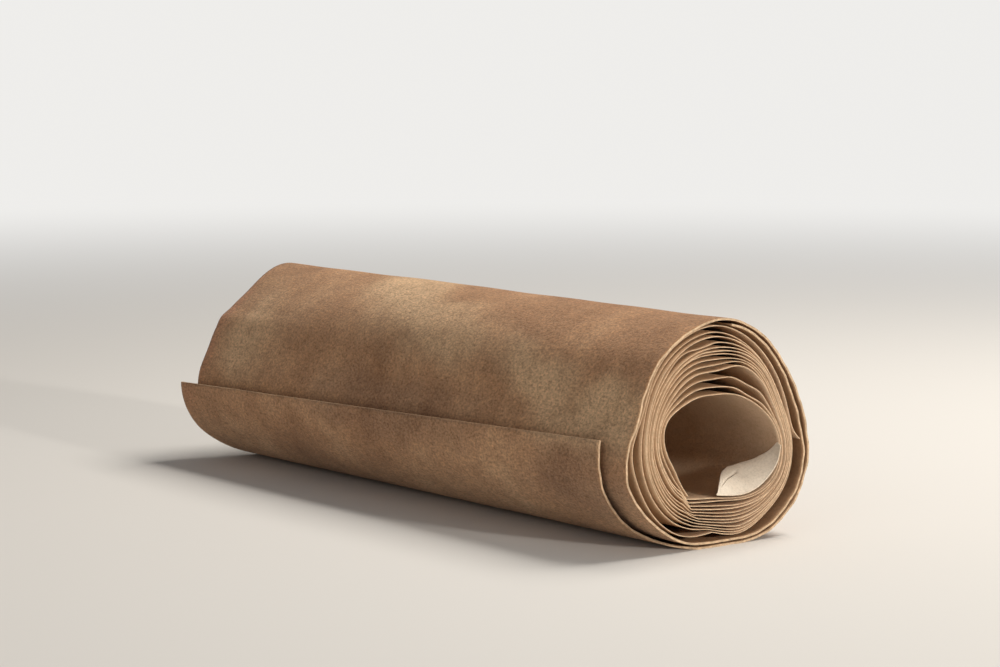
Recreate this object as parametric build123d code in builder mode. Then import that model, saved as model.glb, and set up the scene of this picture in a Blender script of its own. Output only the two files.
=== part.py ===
"""A roll of old paper that lies on its side.

One long thin sheet is rolled up, and a shorter, thicker and softer sheet is wound round it as a cover.
X runs along the roll, with the open mouth at +X. Z is up, and the roll lies on Z = 0.
The cover's free edge, the flap, is on the -Y side. Millimetres throughout.

Both sheets are bands: a line through stations in the section plane, given a thickness and drawn out along X.
A station is a (y, z) pair in roll radii, measured from the middle of the roll.
Every line of stations runs inwards: down the -Y side, under the roll, up the +Y side and back over the top.
"""

from build123d import *
from math import hypot
import os

# Overall sizes
roll_length = 210.0
roll_radius = 32.8

# The cover: one soft thick sheet, nearly two turns
cover_thickness = 0.6
flap_recess = 8.5
flap_overhang = 6.5
flap_edge_mouth = 0.06
flap_edge_tail = -0.12
recess_height = 12.0

# The rolled sheet inside it: one loose turn, then the turns that lie together
inner_thickness = 0.2
turns = 12
dog_ear_depth = 11.0
dog_ear_gap = 0.5

# Stations of the cover's inner face. The flap comes first, from its free edge to the flat underside.
underside = -0.887
second_underside = -0.852
flap_line = [
    (-1.10, 0.12),
    (-1.115, -0.08),
    (-1.07, -0.32),
    (-0.94, -0.54),
    (-0.73, -0.72),
    (-0.50, -0.835),
    (-0.26, underside),
]
flat_end = (0.22, underside)
cover_line = [
    flat_end,
    (0.49, -0.85),
    (0.73, -0.73),
    (0.91, -0.52),
    (1.00, -0.26),
    (0.98, 0.00),
    (0.89, 0.24),
    (0.78, 0.45),
    (0.64, 0.64),
    (0.47, 0.81),
    (0.25, 0.94),
    (0.00, 0.99),
    (-0.26, 0.95),
    (-0.49, 0.85),
    (-0.70, 0.69),
    (-0.83, 0.47),
    (-0.90, 0.25),
    (-0.98, 0.08),
    (-1.03, -0.11),
    (-1.015, -0.28),
    (-0.89, -0.49),
    (-0.68, -0.68),
    (-0.47, -0.795),
    (-0.22, second_underside),
    (0.20, second_underside),
    (0.47, -0.815),
    (0.69, -0.69),
    (0.83, -0.55),
    (0.93, -0.34),
    (0.945, -0.16),
    (0.91, 0.01),
    (0.86, 0.17),
    (0.80, 0.30),
    (0.72, 0.45),
    (0.61, 0.61),
    (0.45, 0.77),
    (0.24, 0.895),
    (0.10, 0.935),
]

# Stations of the rolled sheet's outer face. Its first turn starts at a free end that curls outwards,
# and stands away from the other turns on the -Y side.
first_turn = [
    (0.905, -0.085),
    (0.84, -0.02),
    (0.785, 0.11),
    (0.745, 0.24),
    (0.58, 0.56),
    (0.29, 0.83),
    (-0.05, 0.95),
    (-0.43, 0.87),
    (-0.745, 0.59),
    (-0.89, 0.23),
    (-0.98, 0.00),
    (-0.93, -0.27),
    (-0.73, -0.59),
    (-0.38, -0.785),
]
# Then every turn has the same stations. Each row gives a station's place on the outermost and on the
# innermost turn, and the turns between pass at even steps from one to the other. The first row is a crease,
# whose places lie on a curve that a middle point pulls down.
turn_stations = [
    ((-0.09, -0.78), (-0.36, -0.62), (-0.385, -0.445)),
    ((0.20, -0.825), (-0.05, -0.485)),
    ((0.52, -0.69), (0.38, -0.50)),
    ((0.78, -0.41), (0.64, -0.33)),
    ((0.83, -0.11), (0.675, -0.09)),
    ((0.72, 0.22), (0.555, 0.12)),
    ((0.55, 0.53), (0.37, 0.25)),
    ((0.27, 0.80), (0.13, 0.34)),
    ((-0.05, 0.92), (-0.09, 0.365)),
    ((-0.42, 0.845), (-0.27, 0.365)),
    ((-0.725, 0.575), (-0.46, 0.30)),
    ((-0.86, 0.22), (-0.62, 0.18)),
    ((-0.88, -0.15), (-0.64, 0.00)),
    ((-0.72, -0.51), (-0.52, -0.24)),
    ((-0.36, -0.75), (-0.47, -0.33)),
]
# The dog-ear covers this stretch of the innermost turn, from side to side
dog_ear_stations = 5
dog_ear_sides = (-0.06, 0.30, 0.62)

axis_height = cover_thickness - underside * roll_radius
mouth = roll_length / 2


def placed(stations):
    """Stations in roll radii, as points of the section plane in millimetres above the ground."""
    return [(y * roll_radius, z * roll_radius + axis_height) for y, z in stations]


def beside(points, distance):
    """The line through the points moved to its left, parallel to each of its runs. Its corners are mitred."""
    normals = []
    for (y, z), (next_y, next_z) in zip(points, points[1:]):
        length = hypot(next_y - y, next_z - z)
        normals.append(((z - next_z) / length, (next_y - y) / length))
    normals = [normals[0], *normals, normals[-1]]
    moved = []
    for (y, z), before, after in zip(points, normals, normals[1:]):
        mitre = distance / (1 + before[0] * after[0] + before[1] * after[1])
        moved.append((y + mitre * (before[0] + after[0]), z + mitre * (before[1] + after[1])))
    return moved


def draw_band(right_side, left_side, corners=()):
    """The closed outline of a band between two rows of points, smooth between the corners it is given."""
    ends = [0, *corners, len(right_side) - 1]
    for side in (right_side, left_side):
        for start, end in zip(ends, ends[1:]):
            Spline(*side[start : end + 1])
    Line(right_side[0], left_side[0])
    Line(right_side[-1], left_side[-1])


def on_curve(places, share):
    """The point at a share of the way along the Bezier curve that the places control."""
    while len(places) > 1:
        steps = zip(places, places[1:])
        places = [(y + share * (to_y - y), z + share * (to_z - z)) for (y, z), (to_y, to_z) in steps]
    return places[0]


def winding_line():
    """Stations of the rolled sheet from its free end to the middle, and the places of its creases in that row."""
    stations = list(first_turn)
    creases = []
    per_turn = len(turn_stations)
    steps = turns * per_turn
    for step in range(steps + 1):
        if step % per_turn == 0 and step < steps:
            creases.append(len(stations))
        stations.append(on_curve(turn_stations[step % per_turn], step / steps))
    return stations, creases


# The cover. Its flap is cut to the outline that shows from the side: short of the mouth at +X, past the
# other end at -X, and with a free edge that runs downhill from the mouth. Flap and cover share the flat
# underside.
with BuildPart() as cover_sheet:
    flap_points = placed([*flap_line, flat_end])
    cover_points = placed([flap_line[-1], *cover_line])
    flat_start = len(flap_line) - 1
    with BuildSketch(Plane.YZ):
        with BuildLine():
            draw_band(flap_points, beside(flap_points, -cover_thickness), [flat_start])
        make_face()
    extrude(amount=mouth + flap_overhang, both=True)
    mouth_corner = (mouth - flap_recess, axis_height + flap_edge_mouth * roll_radius)
    tail_corner = (-mouth - flap_overhang, axis_height + flap_edge_tail * roll_radius)
    with BuildSketch(Plane.XZ):
        with BuildLine():
            Line((-mouth, 0), (mouth, 0))
            Spline((mouth, 0), (mouth_corner[0], recess_height), mouth_corner)
            Line(mouth_corner, tail_corner)
            Spline(tail_corner, (tail_corner[0], recess_height), (-mouth, 0))
        make_face()
    extrude(amount=2 * roll_radius, both=True, mode=Mode.INTERSECT)
    with BuildSketch(Plane.YZ):
        with BuildLine():
            draw_band(cover_points, beside(cover_points, -cover_thickness), [1])
        make_face()
    extrude(amount=mouth, both=True)

# The dog-ear: a corner of the innermost turn, folded over at the mouth. It is a leaf that lies just off the
# turn below it, and the fold that joins the two.
winding, creases = winding_line()
winding_points = placed(winding)
innermost = creases[-1]
with BuildPart() as dog_ear:
    turn_below = winding_points[innermost : innermost + dog_ear_stations]
    leaf_underside = beside(turn_below, inner_thickness + dog_ear_gap)
    leaf_top = beside(turn_below, 2 * inner_thickness + dog_ear_gap)
    with BuildSketch(Plane.YZ.offset(mouth)):
        with BuildLine():
            draw_band(leaf_underside, leaf_top)
        make_face()
    extrude(amount=-dog_ear_depth)
    with BuildSketch(Plane.YZ.offset(mouth)):
        with BuildLine():
            draw_band(beside(turn_below, inner_thickness / 2), leaf_top)
        make_face()
    extrude(amount=-inner_thickness)
    near_side, middle, far_side = [side * roll_radius for side in dog_ear_sides]
    with BuildSketch(Plane.XY):
        with BuildLine():
            Spline((mouth, near_side), (mouth - dog_ear_depth, middle), (mouth, far_side))
            Line((mouth, near_side), (mouth, far_side))
        make_face()
    extrude(amount=2 * roll_radius, both=True, mode=Mode.INTERSECT)

# The rolled sheet
with BuildPart() as inner_sheet:
    with BuildSketch(Plane.YZ):
        with BuildLine():
            draw_band(winding_points, beside(winding_points, inner_thickness), creases)
        make_face()
    extrude(amount=mouth, both=True)
    add(dog_ear.part)

os.makedirs("parts", exist_ok=True)
for name, piece in (("cover_sheet", cover_sheet), ("inner_sheet", inner_sheet)):
    piece.part.label = name
    export_step(piece.part, f"parts/{name}.step")
    size = piece.part.bounding_box().size
    print(name, len(piece.part.solids()), "solid,", round(piece.part.volume), "mm3,", size)
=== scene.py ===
"""An old paper scroll on its side: a long thin sheet rolled up inside a thick, soft, brown cover sheet.

X runs along the roll towards its open mouth, Z is up, and the roll lies on Z = 0. Metres throughout.
"""

import bpy
import math
import numpy as np
from mathutils import Matrix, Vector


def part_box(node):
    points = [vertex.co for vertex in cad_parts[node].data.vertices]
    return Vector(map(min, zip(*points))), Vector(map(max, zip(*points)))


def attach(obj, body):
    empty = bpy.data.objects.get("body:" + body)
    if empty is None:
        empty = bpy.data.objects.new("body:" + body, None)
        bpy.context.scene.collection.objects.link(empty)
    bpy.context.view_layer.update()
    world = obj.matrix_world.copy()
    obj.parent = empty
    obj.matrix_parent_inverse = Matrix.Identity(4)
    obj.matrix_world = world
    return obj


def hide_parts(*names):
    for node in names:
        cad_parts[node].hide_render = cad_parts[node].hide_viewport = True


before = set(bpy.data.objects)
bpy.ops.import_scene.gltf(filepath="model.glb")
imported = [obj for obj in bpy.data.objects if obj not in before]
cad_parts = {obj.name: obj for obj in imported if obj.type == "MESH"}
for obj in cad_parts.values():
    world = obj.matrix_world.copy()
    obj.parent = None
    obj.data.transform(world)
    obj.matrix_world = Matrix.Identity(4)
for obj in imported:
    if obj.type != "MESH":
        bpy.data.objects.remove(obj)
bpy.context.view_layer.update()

# ---------------------------------------------------------------------------------------------------------
# The cover sheet: thick handmade paper with a felt-like face, wound nearly twice round the roll. Nothing
# holds it but its own curl, so its outer free edge stands off along the near side as a flap.

inner_low, inner_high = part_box("inner_sheet")
cover_low, cover_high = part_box("cover_sheet")
HEIGHT_IN_RADII = 1.914
ROLL_LENGTH = inner_high.x - inner_low.x
ROLL_RADIUS = (cover_high.z - cover_low.z) / HEIGHT_IN_RADII
COVER_THICKNESS = 0.0006
UNDERSIDE = -0.887
AXIS_HEIGHT = COVER_THICKNESS - UNDERSIDE * ROLL_RADIUS
MOUTH = ROLL_LENGTH / 2

# Stations of the cover's inner face in the section plane, (y, z) in roll radii from the roll's middle, from
# the flap's free edge down the near side, along the flat underside and inwards over the roll.
COVER_LINE = [
    (-1.100, 0.06), (-1.118, -0.10), (-1.09, -0.29), (-0.99, -0.48), (-0.84, -0.64), (-0.66, -0.765),
    (-0.46, -0.85), (-0.26, UNDERSIDE), (-0.02, UNDERSIDE), (0.22, UNDERSIDE),
    (0.40, -0.868), (0.53, -0.835), (0.65, -0.775), (0.76, -0.70), (0.85, -0.61), (0.93, -0.48), (0.985, -0.33),
    (1.005, -0.16), (0.98, -0.02), (0.945, 0.12), (0.89, 0.25), (0.81, 0.40), (0.72, 0.54), (0.62, 0.665),
    (0.52, 0.775), (0.36, 0.88), (0.18, 0.96), (0.00, 0.99), (-0.20, 0.965), (-0.38, 0.905), (-0.55, 0.815),
    (-0.70, 0.69), (-0.80, 0.535), (-0.86, 0.39), (-0.90, 0.25), (-0.955, 0.13), (-1.01, 0.01),
    (-1.035, -0.12), (-1.02, -0.27), (-0.95, -0.41), (-0.85, -0.53), (-0.70, -0.665), (-0.54, -0.765),
    (-0.38, -0.828), (-0.20, -0.852), (0.00, -0.854), (0.20, -0.852), (0.38, -0.836), (0.52, -0.795),
    (0.69, -0.69), (0.83, -0.55), (0.93, -0.34), (0.945, -0.16), (0.91, 0.01), (0.86, 0.17), (0.80, 0.30),
    (0.72, 0.45), (0.61, 0.61), (0.45, 0.77), (0.24, 0.895), (0.10, 0.935),
]


def natural_spline(points, samples):
    """A smooth curve through the points: each stretch is the cubic whose slopes make the bending continuous,
    with no bending at the two ends. Chord length is the parameter. Returns the points at the samples, given
    as chord lengths, and the chord length at each point."""
    points = np.asarray(points, float)
    chord = np.linalg.norm(np.diff(points, axis=0), axis=1)
    knots = np.concatenate([[0.0], np.cumsum(chord)])
    count = len(points)
    matrix = np.zeros((count, count))
    right_side = np.zeros((count, 2))
    matrix[0, 0] = matrix[-1, -1] = 1.0
    inner = np.arange(1, count - 1)
    matrix[inner, inner - 1] = chord[:-1]
    matrix[inner, inner] = 2 * (chord[:-1] + chord[1:])
    matrix[inner, inner + 1] = chord[1:]
    slopes = np.diff(points, axis=0) / chord[:, None]
    right_side[inner] = 6 * np.diff(slopes, axis=0)
    bending = np.linalg.solve(matrix, right_side)
    at = np.clip(np.asarray(samples, float), 0, knots[-1])
    piece = np.clip(np.searchsorted(knots, at, side="right") - 1, 0, count - 2)
    width = chord[piece]
    left = (knots[piece + 1] - at) / width
    after = 1 - left
    curve = left[:, None] * points[piece] + after[:, None] * points[piece + 1]
    curve += (width**2 / 6)[:, None] * (
        (left**3 - left)[:, None] * bending[piece] + (after**3 - after)[:, None] * bending[piece + 1]
    )
    return curve, knots


def sampled_spline(points, spacing):
    """The natural spline through the points, sampled about every `spacing`. Returns the samples and the
    station number, as a running fraction, that each one lies at."""
    chord = np.concatenate([[0.0], np.cumsum(np.linalg.norm(np.diff(points, axis=0), axis=1))])
    at = np.linspace(0, chord[-1], max(int(round(chord[-1] / spacing)), len(points)) + 1)
    curve, knots = natural_spline(points, at)
    return curve, np.interp(at, knots, np.arange(len(points)))


def left_normals(curve):
    """Unit normals to the left of a sampled curve: its direction from neighbour to neighbour, turned by 90
    degrees. The curve's points run along the first axis and its (y, z) along the last."""
    direction = np.gradient(curve, axis=0)
    direction /= np.linalg.norm(direction, axis=-1, keepdims=True)
    return np.stack([-direction[..., 1], direction[..., 0]], axis=-1)


def along_roll(fine, coarse, reach):
    """Places along X from -1 to 1 (tail to mouth): steps of `fine` within `reach` of each end of the roll,
    and of `coarse` between, all in metres."""
    end = np.arange(0, reach, fine) / MOUTH
    middle = np.linspace(-1 + reach / MOUTH, 1 - reach / MOUTH, int((ROLL_LENGTH - 2 * reach) / coarse))
    return np.concatenate([-1 + end, middle, (1 - end)[::-1]])


def ripple(along, across, seed, waves, amplitude):
    """Soft unevenness: a sum of sine waves of the given lengths, each with a random direction and phase."""
    dice = np.random.default_rng(seed)
    total = np.zeros(np.broadcast(along, across).shape)
    for wave in waves:
        angle = dice.uniform(0, 2 * math.pi)
        phase = dice.uniform(0, 2 * math.pi)
        total = total + np.sin(
            2 * math.pi * (along * math.cos(angle) + across * math.sin(angle)) / wave + phase
        )
    return amplitude * total / len(waves)


def sheet_mesh(name, outer, inner, flat_places):
    """A closed sheet from two grids of points, outer and inner face, both shaped (around, along, 3). Quads
    cover both faces and the four rims. The outer face gets material 0, the inner face 1 and the rims 2. The
    UV map `flat` holds each point's place on the sheet laid flat, in metres."""
    around, along = outer.shape[:2]
    vertices = np.concatenate([outer.reshape(-1, 3), inner.reshape(-1, 3)])
    number = np.arange(around * along).reshape(around, along)
    back = number + around * along

    def quads(a, b, c, d):
        return np.stack([a, b, c, d], axis=-1).reshape(-1, 4)

    faces = [
        quads(number[:-1, :-1], number[:-1, 1:], number[1:, 1:], number[1:, :-1])[:, ::-1],
        quads(back[:-1, :-1], back[:-1, 1:], back[1:, 1:], back[1:, :-1]),
        quads(number[:-1, 0], number[1:, 0], back[1:, 0], back[:-1, 0])[:, ::-1],
        quads(number[:-1, -1], number[1:, -1], back[1:, -1], back[:-1, -1]),
        quads(number[0, :-1], number[0, 1:], back[0, 1:], back[0, :-1]),
        quads(number[-1, :-1], number[-1, 1:], back[-1, 1:], back[-1, :-1])[:, ::-1],
    ]
    material = np.concatenate([np.full(len(part), min(index, 2)) for index, part in enumerate(faces)])
    faces = np.concatenate(faces)
    mesh = bpy.data.meshes.new(name)
    mesh.vertices.add(len(vertices))
    mesh.vertices.foreach_set("co", vertices.astype(np.float32).ravel())
    mesh.loops.add(faces.size)
    mesh.loops.foreach_set("vertex_index", faces.astype(np.int32).ravel())
    mesh.polygons.add(len(faces))
    mesh.polygons.foreach_set("loop_start", np.arange(0, faces.size, 4, dtype=np.int32))
    mesh.polygons.foreach_set("material_index", material.astype(np.int32))
    mesh.polygons.foreach_set("use_smooth", material < 2)
    flat = mesh.uv_layers.new(name="flat")
    flat_corners = np.tile(flat_places.reshape(-1, 2), (2, 1))[faces.ravel()]
    flat.data.foreach_set("uv", flat_corners.astype(np.float32).ravel())
    mesh.update(calc_edges=True)
    mesh.validate()
    piece = bpy.data.objects.new(name, mesh)
    bpy.context.scene.collection.objects.link(piece)
    return piece


# The upper near side is pressed in towards the tail, in two flats that meet at a soft ridge
PRESS_DEPTH = 0.0040
PRESS_REACH = 0.110
PRESS_CENTRE = math.radians(127)
PRESS_WIDTH = math.radians(42)
RIDGE_CENTRE = math.radians(146)
RIDGE_WIDTH = math.radians(9)


def pressed_in(x, section):
    """The push towards the roll's middle, at places x along the roll and (y, z) round its axis. It grows as
    the square of the nearness to the tail, has the shape of a raised cosine round the roll, and a narrower
    raised cosine takes some of it back along the ridge. It is in proportion to the distance from the axis."""
    nearness = np.clip((-MOUTH + PRESS_REACH - x) / PRESS_REACH, 0, 1.1)
    angle = np.arctan2(section[..., 1], section[..., 0])
    dent = 0.5 + 0.5 * np.cos(math.pi * np.clip((angle - PRESS_CENTRE) / PRESS_WIDTH, -1, 1))
    ridge = 0.5 + 0.5 * np.cos(math.pi * np.clip((angle - RIDGE_CENTRE) / RIDGE_WIDTH, -1, 1))
    depth = PRESS_DEPTH * nearness**2 * (dent - 0.18 * ridge)
    return -section / ROLL_RADIUS * depth[..., None]


COVER_STATIONS = np.array(COVER_LINE) * ROLL_RADIUS
cover_curve, cover_station = sampled_spline(COVER_STATIONS, 0.0013)
cover_normal = left_normals(cover_curve)
cover_length = np.concatenate([[0.0], np.cumsum(np.linalg.norm(np.diff(cover_curve, axis=0), axis=1))])
cover_run = along_roll(0.0010, 0.0030, 0.012)

# The flap is the first stretch, up to the flat underside: its share is 1 at the free edge and fades to 0
FLAP_END = 7.0
flap = np.clip(1 - cover_station / FLAP_END, 0, 1)
FLAP_RECESS = 0.0085
FLAP_OVERHANG = 0.0065
mouth_edge = MOUTH - FLAP_RECESS * np.clip(flap / 0.35, 0, 1) ** 0.7
tail_edge = -MOUTH - FLAP_OVERHANG * np.clip(flap / 0.5, 0, 1) ** 0.8
# The free edges are not cut quite straight
mouth_edge = mouth_edge + ripple(cover_length, 0.0, 11, [0.004, 0.009, 0.017, 0.05], 0.0004)
tail_edge = tail_edge + ripple(cover_length, 0.0, 12, [0.006, 0.013, 0.04], 0.0005)
run = (cover_run + 1) / 2
cover_x = tail_edge[:, None] * (1 - run) + mouth_edge[:, None] * run

# The flap's free edge runs downhill towards the tail: its first stations slide round by up to 6 mm
FLAP_FALL = 0.0060
slide = FLAP_FALL * (1 - run)[None, :] * np.clip(1 - cover_length / 0.030, 0, 1)[:, None]
place = cover_length[:, None] + slide
cover_yz = np.stack(
    [np.interp(place, cover_length, cover_curve[:, axis]) for axis in range(2)], axis=-1
)
cover_out = np.stack(
    [np.interp(place, cover_length, cover_normal[:, axis]) for axis in range(2)], axis=-1
)
swell = ripple(cover_x, cover_length[:, None], 13, [0.05, 0.08, 0.031, 0.12], 0.00025)
on_ground = np.clip((cover_yz[..., 1] - UNDERSIDE * ROLL_RADIUS) / 0.006, 0, 1)
cover_yz = cover_yz - cover_out * (swell * on_ground)[..., None]
cover_yz = cover_yz + pressed_in(cover_x, cover_yz)
cover_yz[..., 1] += AXIS_HEIGHT
cover_inner = np.concatenate([cover_x[..., None], cover_yz], axis=-1)
outward = cover_yz - cover_out * COVER_THICKNESS
cover_outer = np.concatenate([cover_x[..., None], outward], axis=-1)
# The floor presses the underside flat
cover_outer[..., 2] = np.maximum(cover_outer[..., 2], 0.0)
cover_flat = np.stack([np.broadcast_to(cover_length[:, None], cover_x.shape), cover_x], axis=-1)
cover = sheet_mesh("cover", cover_outer, cover_inner, cover_flat)


def new_material(name):
    """A node material, its nodes and its Principled shader."""
    material = bpy.data.materials.new(name)
    material.use_nodes = True
    nodes = material.node_tree.nodes
    return material, nodes, nodes["Principled BSDF"]


def linked(material, source, target):
    material.node_tree.links.new(source, target)


def noise(material, vector, scale, detail, roughness=0.6):
    node = material.node_tree.nodes.new("ShaderNodeTexNoise")
    node.inputs["Scale"].default_value = scale
    node.inputs["Detail"].default_value = detail
    node.inputs["Roughness"].default_value = roughness
    linked(material, vector, node.inputs["Vector"])
    return node.outputs["Fac"]


def mapped(material, vector, scale, location=(0, 0, 0)):
    node = material.node_tree.nodes.new("ShaderNodeMapping")
    node.inputs["Scale"].default_value = scale
    node.inputs["Location"].default_value = location
    linked(material, vector, node.inputs["Vector"])
    return node.outputs["Vector"]


def ramp(material, value, stops):
    """Value to colour: each stop is a position and a linear (r, g, b)."""
    node = material.node_tree.nodes.new("ShaderNodeValToRGB")
    node.color_ramp.elements[0].position = stops[0][0]
    node.color_ramp.elements[1].position = stops[-1][0]
    for position, _ in stops[1:-1]:
        node.color_ramp.elements.new(position)
    for element, (_, colour) in zip(node.color_ramp.elements, stops):
        element.color = (*colour, 1)
    linked(material, value, node.inputs["Fac"])
    return node.outputs["Color"]


def mixed(material, share, first, second, blend="MIX"):
    """Two colours, sockets or (r, g, b), mixed by a share that is a socket or a number."""
    node = material.node_tree.nodes.new("ShaderNodeMix")
    node.data_type = "RGBA"
    node.blend_type = blend
    for index, value in ((0, share), (6, first), (7, second)):
        if isinstance(value, bpy.types.NodeSocket):
            linked(material, value, node.inputs[index])
        else:
            node.inputs[index].default_value = value if index == 0 else (*value, 1)
    return node.outputs[2]


def bumped(material, shader, height, distance, strength, below=None):
    node = material.node_tree.nodes.new("ShaderNodeBump")
    node.inputs["Distance"].default_value = distance
    node.inputs["Strength"].default_value = strength
    linked(material, height, node.inputs["Height"])
    if below is not None:
        linked(material, below, node.inputs["Normal"])
    linked(material, node.outputs["Normal"], shader.inputs["Normal"])
    return node.outputs["Normal"]


def wear_and_shade_patch(material, place, centre, size, tilt, edge):
    """1 inside an egg-shaped patch and 0 outside, with a ragged edge: the distance from its centre, in sizes,
    after the place is turned by `tilt` about Z and shaken by noise."""
    nodes = material.node_tree.nodes
    shake = nodes.new("ShaderNodeTexNoise")
    shake.inputs["Scale"].default_value = 55
    shake.inputs["Detail"].default_value = 5
    linked(material, place, shake.inputs["Vector"])
    shift = nodes.new("ShaderNodeVectorMath")
    shift.operation = "MULTIPLY_ADD"
    shift.inputs[1].default_value = (edge, edge, edge)
    linked(material, shake.outputs["Color"], shift.inputs[0])
    linked(material, place, shift.inputs[2])
    local = nodes.new("ShaderNodeMapping")
    local.vector_type = "TEXTURE"
    local.inputs["Location"].default_value = tuple(part + edge / 2 for part in centre)
    local.inputs["Rotation"].default_value = tilt
    local.inputs["Scale"].default_value = size
    linked(material, shift.outputs["Vector"], local.inputs["Vector"])
    distance = nodes.new("ShaderNodeVectorMath")
    distance.operation = "LENGTH"
    linked(material, local.outputs["Vector"], distance.inputs[0])
    fade = nodes.new("ShaderNodeMapRange")
    fade.interpolation_type = "SMOOTHSTEP"
    fade.inputs["From Min"].default_value = 1.25
    fade.inputs["From Max"].default_value = 0.35
    linked(material, distance.outputs["Value"], fade.inputs["Value"])
    return fade.outputs["Result"]


# Pale patches where the felt is rubbed, a darker red band along the tail's edge, and painted shade in two grey
# patches on the flap's face: centre, size, turn, raggedness, strength and colour
PALE_FELT = (0.66, 0.46, 0.28)
FLAP_PAINTED_SHADE = (0.23, 0.125, 0.075)
RED_FELT = (0.42, 0.17, 0.10)
PATCHES = [
    ((-0.022, -0.010, 0.064), (0.030, 0.016, 0.030), (0, 0, -0.5), 0.016, 0.75, PALE_FELT),
    ((0.012, -0.022, 0.052), (0.030, 0.012, 0.016), (0, 0.35, 0), 0.018, 0.55, PALE_FELT),
    ((0.058, -0.031, 0.044), (0.034, 0.014, 0.011), (0, 0.45, 0), 0.020, 0.60, PALE_FELT),
    ((0.092, -0.033, 0.036), (0.016, 0.014, 0.013), (0, 0, 0), 0.016, 0.70, PALE_FELT),
    ((-0.085, -0.028, 0.040), (0.016, 0.020, 0.018), (0, 0, 0), 0.018, 0.50, PALE_FELT),
    ((0.030, 0.024, 0.052), (0.040, 0.020, 0.018), (0, 0, 0.3), 0.020, 0.45, PALE_FELT),
    ((-0.060, 0.030, 0.022), (0.030, 0.016, 0.016), (0, 0, 0), 0.020, 0.45, PALE_FELT),
    # The two grey patches are painted shade on the flap's face, which looks down and away from the lamps
    ((0.000, -0.034, 0.030), (0.050, 0.014, 0.010), (0, 0, 0), 0.020, 0.45, FLAP_PAINTED_SHADE),
    ((0.086, -0.031, 0.020), (0.030, 0.012, 0.012), (0, 0, 0), 0.016, 0.65, FLAP_PAINTED_SHADE),
    ((-0.108, -0.024, 0.046), (0.007, 0.030, 0.030), (0, 0, 0), 0.010, 0.60, RED_FELT),
]


def felt_paper():
    """The cover's outer face: brown pulp in soft darker and paler clouds, rubbed pale in patches, with painted
    shade in two grey patches on the flap's face, under a nap of fine curly fibres."""
    material, nodes, shader = new_material("felt_paper")
    place = nodes.new("ShaderNodeTexCoord").outputs["Object"]
    cloud = noise(material, place, 26, 5)
    colour = ramp(material, cloud, [
        (0.30, (0.300, 0.150, 0.074)),
        (0.48, (0.425, 0.235, 0.125)),
        (0.62, (0.500, 0.295, 0.165)),
        (0.75, (0.580, 0.370, 0.215)),
    ])
    for centre, size, tilt, edge, strength, shade in PATCHES:
        inside = wear_and_shade_patch(material, place, centre, size, tilt, edge)
        weight = nodes.new("ShaderNodeMath")
        weight.operation = "MULTIPLY"
        weight.inputs[1].default_value = strength
        linked(material, inside, weight.inputs[0])
        colour = mixed(material, weight.outputs[0], colour, shade)
    blot = noise(material, place, 150, 4)
    blots = ramp(material, blot, [(0.30, (0.80, 0.77, 0.74)), (0.50, (1, 1, 1)), (0.70, (1.12, 1.12, 1.10))])
    colour = mixed(material, 0.8, colour, blots, "MULTIPLY")
    fibre = noise(material, mapped(material, place, (1, 1.3, 1.3)), 1100, 6, 0.72)
    speck = ramp(material, fibre, [(0.34, (0.50, 0.46, 0.42)), (0.50, (1, 1, 1)), (0.68, (1.55, 1.50, 1.42))])
    colour = mixed(material, 0.9, colour, speck, "MULTIPLY")
    linked(material, colour, shader.inputs["Base Color"])
    shader.inputs["Roughness"].default_value = 0.95
    shader.inputs["Specular IOR Level"].default_value = 0.15
    shader.inputs["Sheen Weight"].default_value = 0.25
    shader.inputs["Sheen Roughness"].default_value = 0.5
    shader.inputs["Sheen Tint"].default_value = (1.0, 0.86, 0.7, 1)
    rough = bumped(material, shader, blot, 0.0008, 0.5)
    bumped(material, shader, fibre, 0.0005, 0.8, rough)
    return material


def bare_paper(name, dark, light, scale):
    """A smooth paper face, a little cloudy, with a faint fibre grain."""
    material, nodes, shader = new_material(name)
    place = nodes.new("ShaderNodeTexCoord").outputs["Object"]
    cloud = noise(material, place, scale, 4)
    colour = ramp(material, cloud, [(0.32, dark), (0.68, light)])
    grain = noise(material, place, 1400, 5, 0.7)
    speck = ramp(material, grain, [(0.30, (0.80, 0.78, 0.75)), (0.50, (1, 1, 1)), (0.70, (1.10, 1.10, 1.10))])
    colour = mixed(material, 0.8, colour, speck, "MULTIPLY")
    linked(material, colour, shader.inputs["Base Color"])
    shader.inputs["Roughness"].default_value = 0.8
    shader.inputs["Specular IOR Level"].default_value = 0.25
    bumped(material, shader, grain, 0.0002, 0.5)
    return material


def cut_edge(name, colour):
    """The bare cut edge of a sheet: paler than its face, and torn fibres make it uneven."""
    material, nodes, shader = new_material(name)
    place = nodes.new("ShaderNodeTexCoord").outputs["Object"]
    grain = noise(material, place, 700, 4)
    shade = ramp(material, grain, [
        (0.3, tuple(0.7 * part for part in colour)),
        (0.7, tuple(min(1.0, 1.25 * part) for part in colour)),
    ])
    linked(material, shade, shader.inputs["Base Color"])
    shader.inputs["Roughness"].default_value = 0.9
    shader.inputs["Specular IOR Level"].default_value = 0.2
    return material


cover.data.materials.append(felt_paper())
cover.data.materials.append(bare_paper("cover_lining", (0.34, 0.20, 0.11), (0.46, 0.29, 0.17), 60))
cover.data.materials.append(cut_edge("cover_edge", (0.66, 0.48, 0.31)))
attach(cover, "root")
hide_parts("cover_sheet")

# ---------------------------------------------------------------------------------------------------------
# The rolled sheet: thin smooth tan paper, about 1.9 m of it. Its outer end curls outwards inside the cover,
# its turns lie loose at the top and tight at the far side, and each has a crease at the lower near side.

INNER_THICKNESS = 0.0002
TURNS = 12
FIRST_TURN = [
    (0.905, -0.085), (0.84, -0.02), (0.785, 0.11), (0.745, 0.24),
    (0.58, 0.56), (0.29, 0.83), (-0.05, 0.95), (-0.43, 0.87),
    (-0.745, 0.59), (-0.89, 0.23), (-0.98, 0.00), (-0.93, -0.27), (-0.73, -0.59), (-0.38, -0.785),
]
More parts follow.
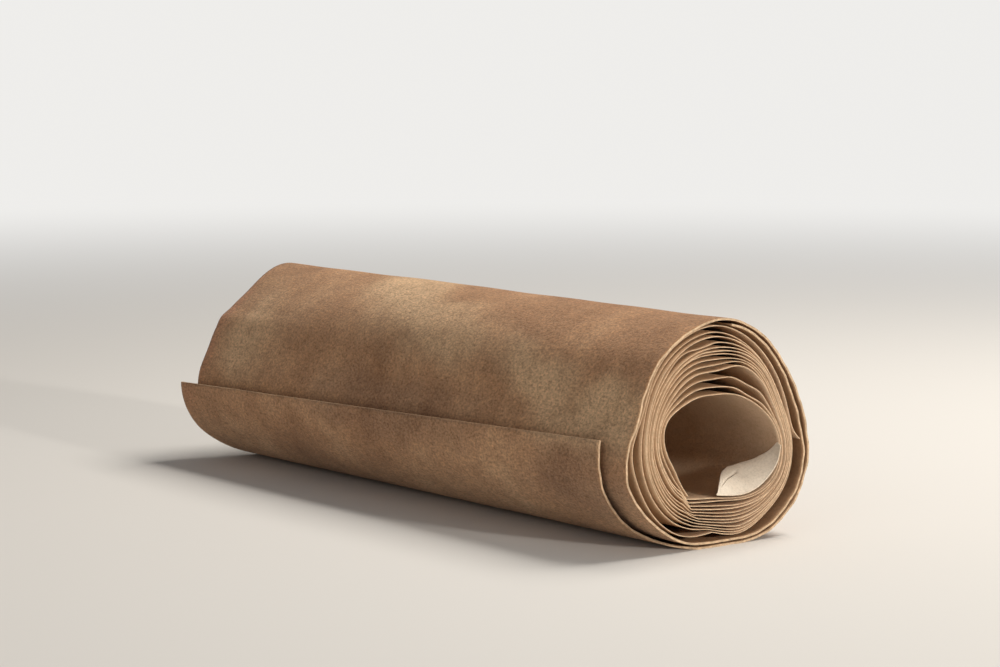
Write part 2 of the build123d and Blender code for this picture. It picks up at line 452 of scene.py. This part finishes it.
# A station's places on the outermost and the innermost turn. The crease comes first, with a middle place
# that bends its path.
TURN_STATIONS = [
    ((-0.09, -0.78), (-0.36, -0.62), (-0.385, -0.445)),
    ((0.20, -0.825), (-0.05, -0.485)),
    ((0.52, -0.69), (0.38, -0.50)),
    ((0.78, -0.41), (0.64, -0.33)),
    ((0.83, -0.11), (0.675, -0.09)),
    ((0.72, 0.22), (0.555, 0.12)),
    ((0.55, 0.53), (0.37, 0.25)),
    ((0.27, 0.80), (0.13, 0.34)),
    ((-0.05, 0.92), (-0.09, 0.365)),
    ((-0.42, 0.845), (-0.27, 0.365)),
    ((-0.725, 0.575), (-0.46, 0.30)),
    ((-0.86, 0.22), (-0.62, 0.18)),
    ((-0.88, -0.15), (-0.64, 0.00)),
    ((-0.72, -0.51), (-0.52, -0.24)),
    ((-0.36, -0.75), (-0.47, -0.33)),
]

# The gaps between one turn and the next, from the outermost inwards, as shares of an even gap, at four
# places round the roll: the station each lies at, how many stations it reaches to each side, and the gaps
GAPS = [
    (1.6, 1.6, [0.3, 0.9, 1.4, 0.9, 1.0, 0.9, 1.1, 1.6, 1.0, 1.9, 0.7, 0.5]),
    (6.3, 2.2, [0.35, 0.35, 0.4, 0.4, 0.45, 0.5, 0.5, 0.9, 1.9, 2.2, 1.2, 1.0]),
    (9.2, 2.8, [0.7, 1.2, 0.9, 0.5, 0.45, 0.9, 1.1, 1.0, 1.6, 1.5, 1.5, 0.7]),
    (12.6, 1.8, [1.5, 0.6, 1.0, 0.5, 1.5, 0.5, 1.3, 0.6, 0.5, 1.6, 1.2, 0.8]),
]


def gap_shares(turn_place):
    """How far in a place on the winding lies, from 0 outermost to 1 innermost. It is an even drift over its
    own turn, and below that the sum of the gaps of all turns outside it, over the sum of all gaps there. The
    gaps pass from even ones at the crease to the stated ones as raised cosines."""
    per_turn = len(TURN_STATIONS)
    turn = np.minimum(np.floor(turn_place / per_turn).astype(int), TURNS - 1)
    station = turn_place - turn * per_turn
    gaps = np.ones((len(turn_place), TURNS))
    for centre, reach, stated in GAPS:
        near = 0.5 + 0.5 * np.cos(math.pi * np.clip((station - centre) / reach, -1, 1))
        gaps += near[:, None] * (np.array(stated) - 1)
    outside = np.cumsum(gaps, axis=1) - gaps
    below = outside[np.arange(len(turn)), turn] / gaps.sum(axis=1)
    return station / per_turn / TURNS + below


def section_place(turn_place):
    """The (y, z) of places on the winding, in roll radii: between stations a natural spline runs from crease
    to crease, on the outermost and on the innermost turn alike, and the share says how far in it lies."""
    per_turn = len(TURN_STATIONS)
    station = turn_place - np.floor(turn_place / per_turn).clip(max=TURNS - 1) * per_turn
    paths = []
    for rank in (0, -1):
        places = [row[rank] for row in TURN_STATIONS]
        corners = np.array([*places, places[0]], float)
        chord = np.concatenate([[0.0], np.cumsum(np.linalg.norm(np.diff(corners, axis=0), axis=1))])
        curve, _ = natural_spline(corners, np.interp(station, np.arange(len(corners)), chord))
        paths.append(curve)
    outermost, innermost = paths
    share = gap_shares(turn_place)[:, None]
    curve = outermost + share * (innermost - outermost)
    # The crease's path bends: its middle place pulls it, and the pull fades over one station to each side
    first, middle, last = (np.array(place) for place in TURN_STATIONS[0])
    pull = 2 * share * (1 - share) * (middle - (first + last) / 2)
    fade = np.clip(1 - np.minimum(station, per_turn - station), 0, 1)[:, None]
    return curve + pull * fade


# Single folds and waves: turn, station, height in roll radii (outwards is positive), and reach in stations.
# A sharp one is a tent, a soft one a raised cosine.
FOLDS = [
    (2, 9.25, 0.020, 0.55, "sharp"),
    (2, 8.5, -0.018, 0.60, "soft"),
    (4, 8.6, 0.008, 0.45, "sharp"),
    (7, 7.0, 0.010, 0.85, "sharp"),
    (8, 7.1, 0.018, 0.90, "soft"),
    (9, 6.6, -0.030, 0.80, "soft"),
    (10, 6.4, -0.020, 0.80, "soft"),
    (5, 14.2, 0.006, 0.60, "sharp"),
    (8, 1.8, -0.006, 1.10, "soft"),
    (3, 1.2, 0.012, 0.60, "sharp"),
]

first_curve, _ = sampled_spline(np.array([*FIRST_TURN, TURN_STATIONS[0][0]]) * ROLL_RADIUS, 0.0012)
# Samples round the outermost and the innermost turn
OUTERMOST_SAMPLES = 146
INNERMOST_SAMPLES = 84
per_turn = len(TURN_STATIONS)
turn_place = np.concatenate([
    turn * per_turn + np.linspace(0, per_turn, samples, endpoint=False)
    for turn, samples in enumerate(np.linspace(OUTERMOST_SAMPLES, INNERMOST_SAMPLES, TURNS).astype(int))
])
turn_place = np.append(turn_place, TURNS * per_turn)
wound_curve = section_place(turn_place) * ROLL_RADIUS
wound_normal = left_normals(wound_curve)
turn_number = np.floor(turn_place / per_turn)
turn_station = turn_place - turn_number * per_turn
for turn, station, height, reach, kind in FOLDS:
    away = np.where(turn_number == turn, np.abs(turn_station - station) / reach, 1.0).clip(max=1.0)
    shape = 1 - away if kind == "sharp" else 0.5 + 0.5 * np.cos(math.pi * away)
    wound_curve = wound_curve - wound_normal * (height * ROLL_RADIUS * shape)[:, None]

inner_curve = np.concatenate([first_curve[:-1], wound_curve])
inner_normal = left_normals(inner_curve)
inner_length = np.concatenate([[0.0], np.cumsum(np.linalg.norm(np.diff(inner_curve, axis=0), axis=1))])
inner_run = along_roll(0.0015, 0.012, 0.012)
mouth_edge = MOUTH + ripple(inner_length, 0.0, 21, [0.05, 0.19, 0.37, 0.9], 0.0012)
tail_edge = -MOUTH + ripple(inner_length, 0.0, 22, [0.06, 0.17, 0.33, 1.1], 0.0014)
run = (inner_run + 1) / 2
inner_x = tail_edge[:, None] * (1 - run) + mouth_edge[:, None] * run
inner_yz = np.repeat(inner_curve[:, None, :], len(run), axis=1)
inner_yz = inner_yz + pressed_in(inner_x, inner_yz)
inner_yz[..., 1] += AXIS_HEIGHT
inner_in = np.repeat(inner_normal[:, None, :], len(run), axis=1)
inner_outer_face = np.concatenate([inner_x[..., None], inner_yz], axis=-1)
inner_inner_face = np.concatenate([inner_x[..., None], inner_yz + inner_in * INNER_THICKNESS], axis=-1)
inner_flat = np.stack([np.broadcast_to(inner_length[:, None], inner_x.shape), inner_x], axis=-1)
rolled = sheet_mesh("rolled_sheet", inner_outer_face, inner_inner_face, inner_flat)
rolled.data.materials.append(bare_paper("rolled_outer_face", (0.52, 0.33, 0.19), (0.66, 0.46, 0.29), 45))
rolled.data.materials.append(bare_paper("rolled_inner_face", (0.50, 0.34, 0.22), (0.62, 0.45, 0.31), 45))
rolled.data.materials.append(cut_edge("rolled_edge", (0.72, 0.53, 0.35)))
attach(rolled, "root")
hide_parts("inner_sheet")

# ---------------------------------------------------------------------------------------------------------
# The dog-ear: a corner of the innermost turn, folded over into the roll at the mouth. It is the same paper,
# but its upper face is painted nearly white as painted light, where the lamps catch it.

# Along its fold, which lies on the innermost turn at the mouth, and along its free edge: (y, z) in roll
# radii, and for the free edge how deep in the roll it lies
FOLD_LINE = [
    (-0.06, -0.468), (0.10, -0.486), (0.27, -0.487), (0.42, -0.445),
    (0.55, -0.36), (0.64, -0.25), (0.672, -0.12),
]
FREE_LINE = [
    (-0.05, -0.455), (0.11, -0.345), (0.28, -0.315), (0.455, -0.29),
    (0.59, -0.245), (0.66, -0.18), (0.675, -0.10),
]
FREE_DEPTH = [0.0, 0.10, 0.22, 0.31, 0.29, 0.20, 0.05]
LEAF_THICKNESS = 0.00022


def even_samples(points, count):
    """Evenly spaced points on the natural spline through the given ones."""
    chord = np.concatenate([[0.0], np.cumsum(np.linalg.norm(np.diff(np.array(points), axis=0), axis=1))])
    curve, _ = natural_spline(points, np.linspace(0, chord[-1], count))
    return curve


LEAF_LONG, LEAF_WIDE = 90, 36
fold_edge = even_samples(FOLD_LINE, LEAF_LONG) * ROLL_RADIUS
free_edge = even_samples(FREE_LINE, LEAF_LONG) * ROLL_RADIUS
across = np.linspace(0, 1, LEAF_WIDE)
along = np.linspace(0, 1, LEAF_LONG)
free_depth = np.interp(along, np.linspace(0, 1, len(FREE_DEPTH)), FREE_DEPTH) * ROLL_RADIUS
# The leaf rises from the fold as a quarter wave, and one narrow dent runs along it where it was creased
rise_share = np.sin(0.5 * math.pi * across) ** 1.25
rise_share = rise_share[None, :, None]
leaf_yz = fold_edge[:, None] * (1 - rise_share) + free_edge[:, None] * rise_share
crease_at = 0.60 + 0.10 * along
crease_on = np.clip((along - 0.10) / 0.06, 0, 1) * np.clip((0.52 - along) / 0.06, 0, 1)
dent = crease_on[:, None] * np.exp(-(((across[None, :] - crease_at[:, None]) / 0.022) ** 2))
leaf_yz[..., 1] += AXIS_HEIGHT - 0.0006 * dent
leaf_x = MOUTH + 0.0002 - free_depth[:, None] * across[None, :]
leaf_top = np.concatenate([leaf_x[..., None], leaf_yz], axis=-1)
leaf_side = np.gradient(leaf_top, axis=0)
leaf_up = np.cross(leaf_side, np.gradient(leaf_top, axis=1))
leaf_up /= np.maximum(np.linalg.norm(leaf_up, axis=-1, keepdims=True), 1e-12)
leaf_up *= np.sign(leaf_up[LEAF_LONG // 2, LEAF_WIDE // 2, 2])
leaf_flat = np.stack(np.broadcast_arrays(along[:, None] * 0.03, across[None, :] * 0.01), axis=-1)
dog_ear = sheet_mesh("dog_ear", leaf_top, leaf_top - leaf_up * LEAF_THICKNESS, leaf_flat)
# Painted light: the upper face gets a near-white copy of the roll's tan paper colour, standing in for the lamp
# light it catches
dog_ear.data.materials.append(bare_paper("painted_light_paper", (0.76, 0.66, 0.54), (0.84, 0.75, 0.63), 120))
dog_ear.data.materials.append(bare_paper("dog_ear_back", (0.50, 0.34, 0.22), (0.62, 0.45, 0.31), 45))
dog_ear.data.materials.append(cut_edge("dog_ear_edge", (0.80, 0.68, 0.52)))
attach(dog_ear, "root")

# ---------------------------------------------------------------------------------------------------------
# The floor, the light and the camera.

BACKDROP = (0.86, 0.85, 0.83)
FLOOR_SIZE = 6.0
floor_mesh = bpy.data.meshes.new("floor")
floor_mesh.from_pydata(
    [(x * FLOOR_SIZE, y * FLOOR_SIZE, 0) for x, y in ((-1, -1), (1, -1), (1, 1), (-1, 1))],
    [],
    [(0, 1, 2, 3)],
)
floor = bpy.data.objects.new("floor", floor_mesh)
bpy.context.scene.collection.objects.link(floor)


def pale_floor():
    """A pale matt floor that fades, with distance from the roll, into the plain pale backdrop."""
    material, nodes, shader = new_material("pale_floor")
    shader.inputs["Base Color"].default_value = (0.72, 0.71, 0.69, 1)
    shader.inputs["Roughness"].default_value = 0.9
    shader.inputs["Specular IOR Level"].default_value = 0.1
    place = nodes.new("ShaderNodeTexCoord").outputs["Object"]
    distance = nodes.new("ShaderNodeVectorMath")
    distance.operation = "LENGTH"
    linked(material, place, distance.inputs[0])
    fade = nodes.new("ShaderNodeMapRange")
    fade.interpolation_type = "SMOOTHSTEP"
    fade.inputs["From Min"].default_value = 0.25
    fade.inputs["From Max"].default_value = 1.3
    linked(material, distance.outputs["Value"], fade.inputs["Value"])
    rays = nodes.new("ShaderNodeLightPath")
    seen = nodes.new("ShaderNodeMath")
    seen.operation = "MULTIPLY"
    linked(material, fade.outputs["Result"], seen.inputs[0])
    linked(material, rays.outputs["Is Camera Ray"], seen.inputs[1])
    glow = nodes.new("ShaderNodeEmission")
    glow.inputs["Color"].default_value = (*BACKDROP, 1)
    blend = nodes.new("ShaderNodeMixShader")
    linked(material, seen.outputs[0], blend.inputs["Fac"])
    linked(material, shader.outputs["BSDF"], blend.inputs[1])
    linked(material, glow.outputs["Emission"], blend.inputs[2])
    linked(material, blend.outputs["Shader"], nodes["Material Output"].inputs["Surface"])
    return material


floor_mesh.materials.append(pale_floor())


def area_lamp(name, place, target, size, watts, colour):
    """A square soft lamp at a place, facing a target."""
    lamp = bpy.data.objects.new(name, bpy.data.lights.new(name, "AREA"))
    lamp.data.shape = "SQUARE"
    lamp.data.size = size
    lamp.data.energy = watts
    lamp.data.color = colour
    back = np.array(place, float) - np.array(target, float)
    back /= np.linalg.norm(back)
    side = np.cross((0, 0, 1), back)
    side /= np.linalg.norm(side)
    rise = np.cross(back, side)
    turn = Matrix([[side[i], rise[i], back[i]] for i in range(3)]).to_4x4()
    lamp.matrix_world = Matrix.Translation(place) @ turn
    bpy.context.scene.collection.objects.link(lamp)


area_lamp("overhead", (0.10, 0.42, 0.75), (0.0, 0.0, 0.03), 0.40, 7.0, (1.0, 0.94, 0.86))
area_lamp("mouth_key", (1.25, 0.10, 0.335), (0.10, 0.0, 0.03), 0.09, 7.5, (1.0, 0.94, 0.86))
area_lamp("fill", (0.35, -0.9, 0.35), (0.0, 0.0, 0.03), 0.7, 1.0, (1.0, 0.96, 0.92))

scene = bpy.context.scene
world = bpy.data.worlds.new("studio")
scene.world = world
world.use_nodes = True
sky = world.node_tree
background = sky.nodes["Background"]
background.inputs["Color"].default_value = (1.0, 0.97, 0.94, 1)
background.inputs["Strength"].default_value = 0.22
backdrop = sky.nodes.new("ShaderNodeBackground")
backdrop.inputs["Color"].default_value = (*BACKDROP, 1)
rays = sky.nodes.new("ShaderNodeLightPath")
blend = sky.nodes.new("ShaderNodeMixShader")
sky.links.new(rays.outputs["Is Camera Ray"], blend.inputs["Fac"])
sky.links.new(background.outputs["Background"], blend.inputs[1])
sky.links.new(backdrop.outputs["Background"], blend.inputs[2])
sky.links.new(blend.outputs["Shader"], sky.nodes["World Output"].inputs["Surface"])
scene.view_settings.view_transform = "Standard"

# The camera looks along the roll from its mouth, a little above it
AZIMUTH = math.radians(51.395)
ELEVATION = math.radians(6.687)
back = np.array([
    math.sin(AZIMUTH) * math.cos(ELEVATION),
    -math.cos(AZIMUTH) * math.cos(ELEVATION),
    math.sin(ELEVATION),
])
side = np.array([math.cos(AZIMUTH), math.sin(AZIMUTH), 0.0])
rise = np.cross(back, side)
DISTANCE = 23.05 * ROLL_RADIUS
mouth_middle = np.array([MOUTH, 0.0, AXIS_HEIGHT])
eye = mouth_middle + DISTANCE * back - 0.0799 * DISTANCE * side + 0.0379 * DISTANCE * rise
camera = bpy.data.objects.new("camera", bpy.data.cameras.new("camera"))
camera.data.lens = 100
camera.data.sensor_width = 36
camera.data.clip_start = 0.01
camera.matrix_world = Matrix([
    [side[0], rise[0], back[0], eye[0]],
    [side[1], rise[1], back[1], eye[1]],
    [side[2], rise[2], back[2], eye[2]],
    [0, 0, 0, 1],
])
scene.collection.objects.link(camera)
scene.camera = camera
